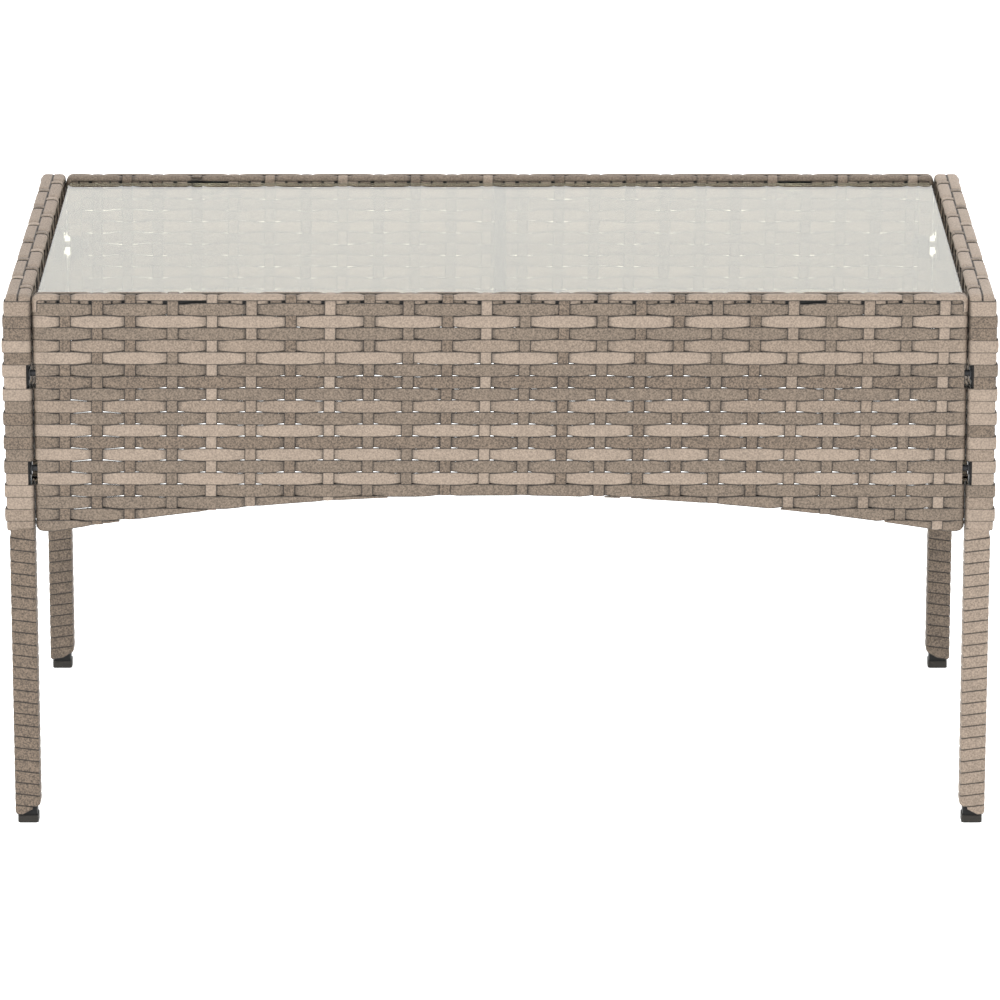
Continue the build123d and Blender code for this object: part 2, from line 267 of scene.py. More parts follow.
# Grains, as how many grains there are to a metre
WICKER_GRAIN = 740
WICKER_CLOUD = 60
GLASS_SMEAR = 9
VINYL_HAZE = 120
FLOOR_CLOUD = 1.5

# How dark painted shade makes a strand at its edge line and where its painted shade is deepest
EDGE_SHADE = 0.16
CREASE_SHADE = 0.45

# A strand's finish: the spread of its speckle and of its slow drift in tone, its roughness, its gloss,
# and the strength and depth of its pebbles
SPECKLE_MIDDLE = 0.5
WICKER_CONTRAST = (0.2, 1.1)
WICKER_DRIFT = (-0.05, 0.05)
WICKER_ROUGHNESS = (0.72, 0.56)
WICKER_GLOSS = 0.5
WICKER_BUMP = (0.5, 0.0005)

# The dark finishes by the record's slot: material, colour, roughness, grain and depth of the grain
COATINGS = {
    "frame_tube": ("powder_coat", "powder_coat", 0.5, 2400, 0.12),
    "fastener": ("black_oxide", "black_oxide", 0.36, 1500, 0.08),
    "foot": ("moulded_plastic", "foot_plastic", 0.5, 1800, 0.1),
}

# What the dark finishes share: the spread of their tone and roughness, their gloss and their depth
COATING_TONES = (0.8, 1.25)
COATING_SPREAD = 0.06
COATING_GLOSS = 0.2
COATING_DEPTH = 0.0003

# Glass seen straight on and aslant through its face, and the slant where the one turns to the other
GLASS_CLEAR = (0.86, 0.90, 0.85, 1)
GLASS_SLANT = (0.43, 0.37, 0.22, 1)
GLASS_TURN = (0.42, 0.72)
GLASS_ROUGHNESS = (0, 0.012)
GLASS_IOR = 1.5

VINYL_SHADES = ((0.86, 0.89, 0.87, 1), (0.94, 0.95, 0.94, 1))
VINYL_ROUGHNESS = (0.08, 0.16)
VINYL_IOR = 1.45

FLOOR_SHADES = ((0.88, 0.88, 0.88, 1), (0.91, 0.91, 0.91, 1))
FLOOR_ROUGHNESS = 0.9
FLOOR_GLOSS = 0.1
FLOOR_GLOW = 0.55
WHITE = (1, 1, 1, 1)

# The stage: its floor, its lights, each with place, size and power, and its camera
FLOOR_SIZE = 60
SKY_STRENGTH = 1.62
LIGHTS = {
    "key_light": ((-1.7, -3.2, 2.9), 1.6, 42),
    "fill_light": ((2.2, 1.6, 2.6), 1.8, 18),
}
CAMERA_PITCH = math.radians(15.81)
CAMERA_DISTANCE = 5.321
CAMERA_AIM = (0, 0, 0.2089)
CAMERA_LENS = 230.5
CAMERA_REACH = 100

# Two places or headings that are the same, within rounding
SAME_PLACE = 0.0001
SAME_HEADING = 0.99

# Stakes are drawn facing right, and turned to face the front or the left
FACING = np.array((-1, 1))

FACES = ("front", "rear")
SIDES = ("left", "right")


def length_property(name, description, default):
    """A length that a user may change."""
    return bpy.props.FloatProperty(name=name, description=description, default=default, unit="LENGTH")


def colour_property(name, description, default):
    """A colour that a user may change."""
    return bpy.props.FloatVectorProperty(
        name=name, description=description, default=default, subtype="COLOR"
    )


class TableSizes(bpy.types.PropertyGroup):
    """Sizes of the strands and of the weave."""

    strand_width: length_property("Strand Width", "Width of a flat strand", 0.01075)
    strand_thickness: length_property("Strand Thickness", "Thickness of a flat strand", 0.0011)
    stake_width: length_property("Stake Width", "Width of an upright strand", 0.0093)
    row_pitch: length_property("Row Pitch", "Height of one woven row", 0.00989)
    first_row_drop: length_property("First Row Drop", "Top of row one under the table's top", 0.0067)
    stake_pitch: length_property("Stake Pitch", "Distance between the upright strands of a panel", 0.0305)
    ring_pitch: length_property("Ring Pitch", "Distance between the wraps on a rail", 0.0101)
    stake_lean: length_property(
        "Stake Lean", "How far a stake drifts to the left on its way down", 0.0036
    )
    weave_depth: length_property(
        "Weave Depth", "How far a row moves in and out of the weave's middle", 0.00082
    )
    stake_depth: length_property(
        "Stake Depth", "How far a stake moves in and out of the weave's middle", 0.00048
    )
    pinch: length_property("Pinch", "How much narrower a row is where a stake presses on it", 0.0021)
    arch_rise: length_property("Arch Rise", "Height of the apron's arch", 0.028)
    arch_half_span: length_property("Arch Half Span", "Half the width of the apron's arch", 0.345)
    panel_corner: length_property("Panel Corner", "Radius of a panel's outer corners", 0.006)
    side_corner: length_property("Side Corner", "Radius of a side rail's ends", 0.008)
    bolt_window: length_property("Bolt Window", "Height of the gap in the wicker at a bolt", 0.02)
    leg_pitch: length_property("Leg Pitch", "Height of one turn of a leg's strand", 0.00975)
    step: length_property("Step", "Length of one face along a strand", 0.0032)


class TableColours(bpy.types.PropertyGroup):
    """Colours of the strands, the frame and the glass."""

    light_strand: colour_property(
        "Light Strand", "Colour of the light beige strands", (0.232, 0.181, 0.139)
    )
    beige_strand: colour_property("Beige Strand", "Colour of the beige strands", (0.187, 0.143, 0.107))
    taupe_strand: colour_property(
        "Taupe Strand", "Colour of the grey-brown strands", (0.131, 0.099, 0.072)
    )
    dark_strand: colour_property(
        "Dark Strand", "Colour of the dark mottled strands", (0.115, 0.084, 0.059)
    )
    powder_coat: colour_property("Powder Coat", "Colour of the frame's tubes", (0.007, 0.007, 0.007))
    black_oxide: colour_property(
        "Black Oxide", "Colour of the bolts, washers and nuts", (0.03, 0.03, 0.032)
    )
    foot_plastic: colour_property("Foot Plastic", "Colour of the feet", (0.023, 0.021, 0.018))
    glass_edge: colour_property(
        "Glass Edge", "Colour of the glass seen through its edge", (0.50, 0.68, 0.56)
    )


# ---------------------------------------------------------------- strands


class Strand:
    """The outer skin of one strand: columns of points along it, each a row of points across it."""

    def __init__(self, skin, tone, crease=None):
        self.skin = skin
        self.tone = tone
        # How much painted shade darkens each column of the strand
        self.crease = np.zeros(len(skin)) if crease is None else crease

    def mirrored(self, axis):
        """The same strand on the table's other side, with its face still outwards."""
        copy = Strand(self.skin[::-1].copy(), self.tone, self.crease[::-1].copy())
        copy.skin[..., axis] *= -1
        return copy


def rise(low, high, values):
    """Goes smoothly from 0 to 1 as the values go from low to high."""
    share = np.clip((values - low) / (high - low), 0, 1)
    return share * share * (3 - 2 * share)


def rise_at(place, span, values):
    """Goes smoothly from 0 to 1 over a span that is given from a place."""
    return rise(place + span[0], place + span[1], values)


def gap_to(places, values):
    """How far each value is from the nearest of the places."""
    return np.min([np.abs(values - place) for place in places], axis=0)


def rounded_route(corners, radius, step):
    """Points and headings along straight runs that are joined by arcs."""
    corners = [np.array(corner, float) for corner in corners]
    points = []
    headings = []
    start = corners[0]
    for index in range(1, len(corners)):
        here = corners[index]
        heading = (here - start) / np.linalg.norm(here - start)
        last = index == len(corners) - 1
        length = np.linalg.norm(here - start) - (0 if last else radius)
        count = max(1, math.ceil(length / step))
        for part in range(count + (1 if last else 0)):
            points.append(start + heading * length * part / count)
            headings.append(heading)
        if last:
            break
        turn = corners[index + 1] - here
        turn = turn / np.linalg.norm(turn)
        centre = here + radius * (turn - heading)
        for part in range(ARC_STEPS):
            angle = math.pi / 2 * part / ARC_STEPS
            points.append(centre - radius * turn * math.cos(angle) + radius * heading * math.sin(angle))
            headings.append(heading * math.cos(angle) + turn * math.sin(angle))
        start = here + radius * turn
    return np.array(points), np.array(headings)


def run_lengths(points):
    """How far along a run each of its points lies."""
    steps = np.linalg.norm(np.diff(points, axis=0), axis=1)
    return np.concatenate([[0], np.cumsum(steps)])


def stand(flat, along, aside=0):
    """A flat route stood upright across an axis. Along that axis it gets its own value."""
    aside = np.broadcast_to(aside, len(flat))
    columns = [aside, flat[:, 0], flat[:, 1]] if along == "x" else [flat[:, 0], aside, flat[:, 1]]
    return np.stack(columns, axis=1)


def flat_skin(middle, heading, outward, width, across=ACROSS, sink=SINK):
    """The skin of a flat strand whose crown runs along the middle."""
    sideways = np.cross(outward, heading)
    half = np.broadcast_to(np.asarray(width, float) / 2, len(middle))
    reach = across[None, :, None] * half[:, None, None]
    return middle[:, None] + sideways[:, None] * reach - outward[:, None] * sink[None, :, None]


def lay_strands(name, strands, thickness, nodes):
    """One grid, cut into strands, each bent along its own run and then given its thickness."""
    rows = strands[0].skin.shape[1]
    skins = np.concatenate([strand.skin for strand in strands])
    columns = len(skins)
    bpy.ops.object.select_all(action="DESELECT")
    bpy.ops.mesh.primitive_grid_add(x_subdivisions=columns - 1, y_subdivisions=rows - 1, size=2)
    piece = bpy.context.active_object
    piece.name = name
    mesh = piece.data
    mesh.name = name
    if len(mesh.vertices) != columns * rows:
        found = len(mesh.vertices)
        raise RuntimeError(f"{name}: the grid has {found} points, and {columns * rows} are needed")
    flat = np.empty(len(mesh.vertices) * 3, np.float32)
    mesh.vertices.foreach_get("co", flat)
    flat = flat.reshape(-1, 3)
    column = np.rint((flat[:, 0] + 1) / 2 * (columns - 1)).astype(int)
    row = np.rint((flat[:, 1] + 1) / 2 * (rows - 1)).astype(int)
    mesh.vertices.foreach_set("co", skins[column, row].astype(np.float32).ravel())

    lengths = []
    values = {"tone": [], "speckle": [], "crease": []}
    insets = []
    ends = []
    for strand in strands:
        middle = strand.skin[:, rows // 2]
        lengths.append(run_lengths(middle))
        tone, speckle = TONES[strand.tone]
        values["tone"].append(np.full(len(middle), tone))
        values["speckle"].append(np.full(len(middle), speckle))
        values["crease"].append(strand.crease)
        spans = np.linalg.norm(np.diff(strand.skin, axis=1), axis=2)
        across = np.pad(np.cumsum(spans, axis=1), ((0, 0), (1, 0)))
        insets.append(np.minimum(across, across[:, -1:] - across))
        ends.append(len(middle))
    for key, parts in values.items():
        attribute = mesh.attributes.new(key, "FLOAT", "POINT")
        attribute.data.foreach_set("value", np.concatenate(parts)[column].astype(np.float32))
    inset = mesh.attributes.new("inset", "FLOAT", "POINT")
    inset.data.foreach_set("value", np.concatenate(insets)[column, row].astype(np.float32))
    corner_points = np.empty(len(mesh.loops), np.int32)
    mesh.loops.foreach_get("vertex_index", corner_points)
    along = np.concatenate(lengths)[column]
    places = np.stack([along, row / (rows - 1)], axis=1)[corner_points]
    mesh.uv_layers[0].data.foreach_set("uv", places.astype(np.float32).ravel())

    last_columns = np.zeros(columns, bool)
    last_columns[np.cumsum(ends) - 1] = True
    face_column = column[corner_points].reshape(-1, 4).min(axis=1)
    bpy.ops.object.mode_set(mode="EDIT")
    bpy.ops.mesh.select_mode(type="FACE")
    bpy.ops.mesh.select_all(action="DESELECT")
    bpy.ops.object.mode_set(mode="OBJECT")
    mesh.polygons.foreach_set("select", last_columns[face_column])
    bpy.ops.object.mode_set(mode="EDIT")
    if last_columns[face_column].any():
        bpy.ops.mesh.delete(type="FACE")
    bpy.ops.object.mode_set(mode="OBJECT")

    bpy.ops.object.modifier_add(type="SOLIDIFY")
    modifier = piece.modifiers[-1]
    modifier.thickness = thickness
    modifier.offset = -1
    bpy.ops.object.modifier_apply(modifier=modifier.name)
    bpy.ops.object.shade_smooth_by_angle(angle=SMOOTH_ANGLE)
    piece.data.materials.append(wicker_material())
    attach(piece, "frame")
    if nodes:
        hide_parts(*nodes)
    return piece


# ---------------------------------------------------------------- front and rear panels


def row_height(sizes, row):
    """Height of the middle of a woven row. Row one is the first under the top rail's edge."""
    return TABLE_TOP - sizes.first_row_drop - (row - 0.5) * sizes.row_pitch


def arch_radius(sizes):
    """Radius of the arc along a panel's lower edge."""
    return (sizes.arch_half_span**2 + sizes.arch_rise**2) / (2 * sizes.arch_rise)


def arch_edge(sizes, x):
    """Height of a panel's lower edge: an arc, rounded at the panel's outer corners."""
    radius = arch_radius(sizes)
    reach = np.minimum(np.abs(x), sizes.arch_half_span + ARCH_OVERRUN)
    height = APRON_BOTTOM + sizes.arch_rise - radius + np.sqrt(radius**2 - reach**2)
    past = np.clip(np.abs(x) - (PANEL_END - sizes.panel_corner), 0, sizes.panel_corner)
    return height + sizes.panel_corner - np.sqrt(sizes.panel_corner**2 - past**2)


def stake_places(sizes):
    """Where the stakes of a panel stand. The outer left ones are unevenly spaced, as wound by hand."""
    places = list(OUTER_STAKES)
    for index in range(EVEN_STAKES):
        bow = STAKE_BOW * math.sin(math.pi * index / (EVEN_STAKES - 1))
        places.append(FIRST_EVEN_STAKE + index * sizes.stake_pitch + bow)
    return places


def stake_at(sizes, place, z):
    """A stake's x at a height, with its lean."""
    middle = (TABLE_TOP + APRON_BOTTOM) / 2
    return place + sizes.stake_lean * (z - middle) / (TABLE_TOP - APRON_BOTTOM)


def in_bolt_window(sizes, z):
    """Whether a row at this height leaves room for a bolt."""
    return any(abs(z - middle) < sizes.bolt_window / 2 - WINDOW_EDGE for middle in WINDOW_HEIGHTS)


def at_pad(x, reach):
    """Whether a place along a panel's top rail is within reach of a pad's arm."""
    return min(abs(x - PAD_X), abs(x + PAD_X)) < reach


def painted_shade_near(gap):
    """How much painted shade a strand gets beside a strand that crosses over it."""
    return 1 - rise(*SHADE_RANGE, gap)


def weave(sizes, gap):
    """How far out a row lies, how wide it shows and how much painted shade it gets, by its distance from
    a stake it passes under.
    """
    out = sizes.weave_depth * (2 * rise(*SINK_RANGE, gap) - 1)
    width = sizes.strand_width - sizes.pinch * (1 - rise(*PINCH_RANGE, gap))
    return out, width, painted_shade_near(gap)


def kept_runs(keep):
    """The unbroken runs of a strand that are kept, apart from the shortest."""
    changes = np.flatnonzero(np.diff(np.pad(keep.astype(int), 1)))
    runs = zip(changes[::2], changes[1::2])
    return [slice(start, end) for start, end in runs if end - start >= SHORTEST_RUN]


def panel_row(sizes, row):
    """The strands of one row of the front panel, cut where the arch ends them."""
    z = row_height(sizes, row)
    depth = PANEL_HALF + PANEL_OFF
    end_x = PANEL_END - sizes.strand_thickness / 2
    front = PANEL_Y - depth
    back = PANEL_Y + depth
    turn_in = PANEL_TUBE_END - 2 * PANEL_HALF
    if in_bolt_window(sizes, z):
        corners = [(-PANEL_TUBE_END, front), (PANEL_TUBE_END, front)]
    else:
        corners = [
            (-turn_in, back), (-end_x, back), (-end_x, front),
            (end_x, front), (end_x, back), (turn_in, back),
        ]
    points, headings = rounded_route(corners, PANEL_TURN, sizes.step)
    heading = np.pad(headings, ((0, 0), (0, 1)))
    outward = np.stack([headings[:, 1], -headings[:, 0], np.zeros(len(headings))], axis=1)
    x = points[:, 0]
    crossing = [place for k, place in enumerate(stake_places(sizes)) if (k - row) % 2 == 0]
    out, width, crease = weave(sizes, gap_to([stake_at(sizes, place, z) for place in crossing], x))
    out = out * (1 - rise_at(PANEL_TUBE_END, PANEL_END_FLAT, np.abs(x)))
    # Painted shade at the seam where the row turns round the panel's end
    crease = np.maximum(crease, rise_at(PANEL_END, PANEL_SEAM, np.abs(x)))
    drift = random.Random(row)
    wave = ROW_WAVE * np.sin(x * drift.uniform(*WAVE_RATES) + drift.uniform(*WAVE_STARTS))
    low = np.maximum(z + wave - width / 2, arch_edge(sizes, x) + PANEL_ROW_ROOM)
    high = z + wave + width / 2
    middle = np.stack([x, points[:, 1], (low + high) / 2], axis=1)
    middle += outward * (out + sizes.strand_thickness / 2)[:, None]
    skin = flat_skin(middle, heading, outward, high - low)
    runs = kept_runs(high - low > NARROWEST)
    return [Strand(skin[run], PANEL_ROW_TONES[row - 1], crease[run]) for run in runs]


def weave_phase(sizes, k, climb):
    """Which way a stake lies, from -1 under to 1 over, by its climb from the middle of row one."""
    return (-1) ** (k - 1) * np.cos(math.pi * climb / sizes.row_pitch)


def stake_climb(sizes, points, headings, half):
    """How far above the middle of row one each point of a stake is, measured along the stake."""
    on_face = (points[:, 0] > half - SAME_PLACE) & (headings[:, 1] < -SAME_HEADING)
    first = np.argmax(on_face)
    along = run_lengths(points)
    return points[first, 1] - row_height(sizes, 1) + along[first] - along


def panel_stake(sizes, k, place):
    """One upright strand of the front panel, from round its top rail to round its arch."""
    half = PANEL_HALF + PANEL_OFF
    foot = float(arch_edge(sizes, stake_at(sizes, place, APRON_BOTTOM))) + PANEL_STAKE_ROOM
    top = PANEL_RAIL_Z + half
    bottom = PANEL_RAIL_Z - half
    route = [(-half, top), (half, top), (half, foot), (-half, foot), (-half, foot + 2 * half)]
    route.append((0, foot + 2 * half))
    if not at_pad(place, sizes.bolt_window / 2 + PAD_ROOM):
        route = [(0, bottom), (-half, bottom), *route]
    points, headings = rounded_route(route, PANEL_TURN, PANEL_STAKE_STEP)
    phase = weave_phase(sizes, k, stake_climb(sizes, points, headings, half))
    out = np.stack([-headings[:, 1], headings[:, 0]], axis=1)
    points = points + out * (sizes.stake_depth * phase + sizes.strand_thickness / 2)[:, None]
    middle = stand(points * FACING, "x", stake_at(sizes, place, points[:, 1])) + (0, PANEL_Y, 0)
    slope = sizes.stake_lean / (TABLE_TOP - APRON_BOTTOM)
    heading = stand(headings * FACING, "x", slope * headings[:, 1])
    skin = flat_skin(middle, heading, stand(out * FACING, "x"), sizes.stake_width)
    # Painted shade where the stake dives under a row
    return Strand(skin, PANEL_STAKE_TONES[k], STAKE_SHADE * rise(*STAKE_SHADE_RANGE, -phase))


def ring(centre, half, radius, along, width, tone):
    """One plain wrap round a square rail that runs along an axis, with its join underneath."""
    corners = [(0, -half), (half, -half), (half, half), (-half, half), (-half, -half), (0, -half)]
    points, headings = rounded_route(corners, radius, 2 * half)
    outward = stand(np.stack([headings[:, 1], -headings[:, 0]], axis=1), along)
    middle = stand(points, along) + centre
    skin = flat_skin(middle, stand(headings, along), outward, width, RING_ACROSS, RING_SINK)
    return Strand(skin, tone)


def ring_places(sizes):
    """The wraps between the stakes and past the outer ones, each with its place and the room it has."""
    edges = [-PANEL_END + PANEL_RING_END, *stake_places(sizes), PANEL_END - PANEL_RING_END]
    places = []
    for index, (left, right) in enumerate(zip(edges, edges[1:])):
        start = left + (0 if index == 0 else RING_STAKE_ROOM)
        stop = right - (0 if index == len(edges) - 2 else RING_STAKE_ROOM)
        count = max(1, round((stop - start) / sizes.ring_pitch))
        size = (stop - start) / count
        places += [(start + (part + 0.5) * size, size) for part in range(count)]
    return places


def panel_rings(sizes, rail):
    """The wraps on the front panel's top rail, or on its arched tube, where they lean with the arc."""
    drift = random.Random(RING_SEEDS[f"panel_{rail}"])
    rings = []
    for x, size in ring_places(sizes):
        tone = drift.choice(PANEL_RING_TONES)
        width = min(size, sizes.ring_pitch) - RING_GAP
        if rail == "top":
            left_out = at_pad(x, sizes.bolt_window / 2)
            height = PANEL_RAIL_Z
            tilt = 0
        else:
            left_out = abs(x) > PANEL_END - 2 * PANEL_SKIN
            height = float(arch_edge(sizes, x)) + PANEL_SKIN
            tilt = math.asin(x / arch_radius(sizes))
        if left_out:
            continue
        strand = ring(np.zeros(3), PANEL_SKIN - PANEL_RING_DEPTH, PANEL_RING_TURN, "x", width, tone)
        lean = np.array((
            (math.cos(tilt), 0, -math.sin(tilt)),
            (0, 1, 0),
            (math.sin(tilt), 0, math.cos(tilt)),
        ))
        strand.skin = strand.skin @ lean + (x, PANEL_Y, height)
        rings.append(strand)
    return rings


def folded_strand(route, half, reach, side, lift, tone, crease, width_axis):
    """A lengthwise strand that is folded round one top edge of a rail.

    The route runs along the rail's top middle and down over its ends. The strand starts at the
    middle and goes out by its reach, over the rounded edge. Side -1 folds it the other way.
    """
    points, headings = route
    flat = half - FOLD_RADIUS
    run = FOLD_START + FOLD_ACROSS * (reach - FOLD_START)
    bend = np.clip((run - flat) / FOLD_RADIUS, 0, math.pi / 2)
    rest = np.clip(run - flat - FOLD_RADIUS * math.pi / 2, 0, None)
    sideways = np.where(run < flat, run, flat + FOLD_RADIUS * np.sin(bend))
    drop = FOLD_RADIUS * (1 - np.cos(bend)) + rest
    up = np.stack([-headings[:, 1], headings[:, 0]], axis=1)
    raised = lift[:, None] - FOLD_SINK[None, :]
    along = points[:, None, :] - up[:, None, :] * drop[None, :, None]
    along = along + up[:, None, :] * (np.cos(bend)[None, :] * raised)[..., None]
    skin = np.zeros((len(points), len(run), 3))
    skin[..., 1 - width_axis] = along[..., 0]
    skin[..., 2] = along[..., 1]
    skin[..., width_axis] = side * (sideways[None, :] + np.sin(bend)[None, :] * raised)
    if (width_axis == 1) != (side > 0):
        skin = skin[::-1]
        crease = crease[::-1]
    return Strand(skin, tone, crease)


def panel_top_strands(sizes):
    """The two lengthwise strands over the front panel's top rail."""
    foot = TABLE_TOP - PANEL_FOLD_FOOT
    corners = [(-PANEL_END, foot), (-PANEL_END, TABLE_TOP), (PANEL_END, TABLE_TOP), (PANEL_END, foot)]
    route = rounded_route(corners, sizes.panel_corner, sizes.step)
    strands = []
    for parity, side in enumerate((-1, 1)):
        stakes = [stake_at(sizes, place, TABLE_TOP) for place in stake_places(sizes)[parity::2]]
        gap = gap_to(stakes, route[0][:, 0])
        lift = PANEL_FOLD_RISE * rise(*TOP_SINK_RANGE, gap) - PANEL_FOLD_SINK
        tone = PANEL_FOLD_TONES[parity]
        # Painted shade beside each stake that crosses over the rail
        strand = folded_strand(route, PANEL_SKIN, PANEL_FOLD, side, lift, tone, painted_shade_near(gap), 1)
        strand.skin[..., 1] += PANEL_Y
        strands.append(strand)
    return strands


def both_panels(strands, face):
    """The strands as they stand on the front panel, or mirrored onto the rear one."""
    return strands if face == "front" else [strand.mirrored(1) for strand in strands]


# ---------------------------------------------------------------- sides


def side_stake_places():
    """Where the stakes of a side stand, evenly spaced about its middle."""
    return [(index - SIDE_STAKES // 2) * SIDE_STAKE_PITCH for index in range(SIDE_STAKES)]


def side_row(sizes, row, side):
    """One row of the left side: round the front leg, along the side and round the rear leg."""
    z = row_height(sizes, row)
    depth = LEG_HALF + SIDE_OFF
    prouder = WOVEN_SIDE_X - LEG_X - ROW_UNDER_SKIN[row % 2]
    outer = LEG_X + min(prouder, SIDE_SKIN + ROW_DRAW * row)
    inner = LEG_X - SIDE_SKIN
    face_y = LEG_Y - SIDE_SKIN + (ROW_FACE if row > 1 else TOP_ROW_FACE)
    turn_in = LEG_Y + depth - SIDE_TURN_END
    cut_in = LEG_X - LEG_HALF + SIDE_CUT
    if in_bolt_window(sizes, z):
        corners = [(-cut_in, face_y), (-outer, face_y), (-outer, -face_y), (-cut_in, -face_y)]
    else:
        corners = [
            (-inner, turn_in), (-inner, face_y), (-outer, face_y),
            (-outer, -face_y), (-inner, -face_y), (-inner, -turn_in),
        ]
    points, headings = rounded_route(corners, SIDE_ROW_TURN, sizes.step)
    x = points[:, 0]
    y = points[:, 1]
    heading = np.pad(headings, ((0, 0), (0, 1)))
    outward = np.stack([-headings[:, 1], headings[:, 0], np.zeros(len(headings))], axis=1)
    crossing = [place for k, place in enumerate(side_stake_places()) if (k - row) % 2 == 0]
    out, width, crease = weave(sizes, gap_to(crossing, y))
    woven = 1 - rise_at(-LEG_Y, WOVEN_RANGE, np.abs(y))
    drawn_in = outer - (LEG_X + depth + WOVEN_OFF)
    on_side = np.abs(x + outer) < SAME_PLACE
    out = np.where(on_side, (out - drawn_in) * woven, 0)
    low = np.maximum(z - width / 2, APRON_BOTTOM + SIDE_ROW_ROOM)
    high = z + width / 2
    if row == 1:
        high = high + TOP_ROW_LIFT * rise_at(-LEG_Y, TOP_ROW_LIFT_RANGE, np.abs(y))
    middle = np.stack([x, y, (low + high) / 2], axis=1) + outward * out[:, None]
    skin = flat_skin(middle, heading, outward, high - low)
    # Painted shade where the row turns in beside the leg, and beside the stakes it passes under
    seam = rise_at(inner, SIDE_SEAM, np.abs(x))
    return Strand(skin, LEG_ROW_TONES[side][row - 1], np.maximum(crease * woven, seam))


def side_stake(sizes, k, place):
    """One upright strand of the left side, from round its top rail to round its lower rail."""
    half = LEG_HALF + SIDE_OFF
    top = SIDE_RAIL_Z + half
    foot = LOWER_RAIL_Z - half
    route = [
        (0, top - 2 * half), (-half, top - 2 * half), (-half, top), (half, top), (half, foot),
        (-half, foot), (-half, foot + 2 * half), (0, foot + 2 * half),
    ]
    points, headings = rounded_route(route, SIDE_STAKE_TURN, SIDE_STAKE_STEP)
    phase = weave_phase(sizes, k + 1, stake_climb(sizes, points, headings, half))
    swap = (-1) ** k * np.clip(-points[:, 0] / OVER_RAIL_SWAP, -1, 1)
    phase = np.where(points[:, 1] > top - OVER_RAIL, swap, phase)
    out = np.stack([-headings[:, 1], headings[:, 0]], axis=1)
    points = points + out * (sizes.stake_depth * phase + sizes.strand_thickness / 2)[:, None]
    middle = stand(points * FACING, "y", place) - (LEG_X, 0, 0)
    heading = stand(headings * FACING, "y")
    skin = flat_skin(middle, heading, stand(out * FACING, "y"), sizes.stake_width)
    # Painted shade where the stake dives under a row
    return Strand(skin, SIDE_STAKE_TONES[k], STAKE_SHADE * rise(*STAKE_SHADE_RANGE, -phase))


def side_rings(sizes, rail, height, reach):
    """The wraps on one rail of the left side."""
    drift = random.Random(RING_SEEDS[f"side_{rail}"])
    count = round(2 * reach / sizes.ring_pitch)
    size = 2 * reach / count
    rings = []
    for index in range(count):
        centre = np.array((-LEG_X, -reach + (index + 0.5) * size, height))
        tone = drift.choice(SIDE_RING_TONES)
        rings.append(ring(centre, SIDE_SKIN - SIDE_OFF, SIDE_RING_TURN, "y", size - RING_GAP, tone))
    return rings


def side_top_strands(sizes, side):
    """The two lengthwise strands over the left side's top rail and down over its ends."""
    foot = row_height(sizes, 1)
    end = -LEG_Y + SIDE_SKIN
    corners = [(-end, foot), (-end, TABLE_TOP), (end, TABLE_TOP), (end, foot)]
    route = rounded_route(corners, sizes.side_corner, sizes.step)
    tone = SIDE_FOLD_TONES[side]
    strands = []
    for parity, turn in enumerate((1, -1)):
        gap = gap_to(side_stake_places()[parity::2], route[0][:, 0])
        lift = SIDE_FOLD_RISE * rise(*TOP_SINK_RANGE, gap) - SIDE_FOLD_SINK
        # Painted shade beside each stake that crosses over the rail
        strand = folded_strand(route, SIDE_SKIN, SIDE_FOLD, turn, lift, tone, painted_shade_near(gap), 0)
        strand.skin[..., 0] -= LEG_X
        strands.append(strand)
    return strands


def both_sides(strands, side):
    """The strands as they stand on the left side, or mirrored onto the right one."""
    return strands if side == "left" else [strand.mirrored(0) for strand in strands]


# ---------------------------------------------------------------- legs


def leg_strand(sizes, tone, shade):
    """The strand wound round the left front leg, with its lower end cut at a slant."""
    half = SIDE_SKIN
    around = [(-half, 0), (-half, -half), (half, -half), (half, half), (-half, half), (-half, 0)]
    points, headings = rounded_route(around, LEG_TURN, 2 * (half - LEG_TURN) / 3)
    points = points[:-1]
    headings = headings[:-1]
    perimeter = 8 * (half - LEG_TURN) + 2 * math.pi * LEG_TURN
    lengths = run_lengths(np.vstack([points, points[:1]]))
    share = lengths[:-1] / lengths[-1]
    bottom = FOOT_TOP - LEG_OVERRUN
    top = SIDE_RAIL_Z - SIDE_SKIN + LEG_OVERRUN
    turns = math.ceil((top - bottom) / sizes.leg_pitch)
    turn = np.repeat(np.arange(turns), len(points)) + np.tile(share, turns)
    run = np.tile(headings, (turns, 1))
    out = np.stack([run[:, 1], -run[:, 0]], axis=1)
    z = top - turn * sizes.leg_pitch
    shrink = LEG_NARROWER * rise_at(APRON_BOTTOM, LEG_NARROW_RANGE, z)
    x, y = (np.tile(points, (turns, 1)) - out * shrink[:, None]).T
    width = sizes.leg_pitch + LEG_OVERLAP
    inwards, outwards = CUT_SLOPES
    slant = np.where(x > CUT_CORNER, inwards * (x - CUT_CORNER), outwards * (CUT_CORNER - x))
    low = np.maximum(z - width / 2, FOOT_TOP + CUT_ROOM + slant)
    high = z + width / 2
    middle = np.stack([x - LEG_X, y + LEG_Y, (low + high) / 2], axis=1)
    fall = np.full(len(run), -sizes.leg_pitch / perimeter)
    heading = np.stack([run[:, 0], run[:, 1], fall], axis=1)
    heading /= np.linalg.norm(heading, axis=1)[:, None]
    skin = flat_skin(middle, heading, np.pad(out, ((0, 0), (0, 1))), high - low)
    keep = high - low > LEG_NARROWEST
    for window in WINDOW_HEIGHTS:
        level = np.abs(z - window) < sizes.bolt_window / 2 + LEG_WINDOW_ROOM
        keep &= ~(level & (x > LEG_HALF - LEG_WINDOW_DEPTH))
    # Painted shade over the whole strand, for a rear leg that lies in shade
    shades = np.full(len(keep), shade)
    return [Strand(skin[part], tone, shades[part]) for part in kept_runs(keep)]


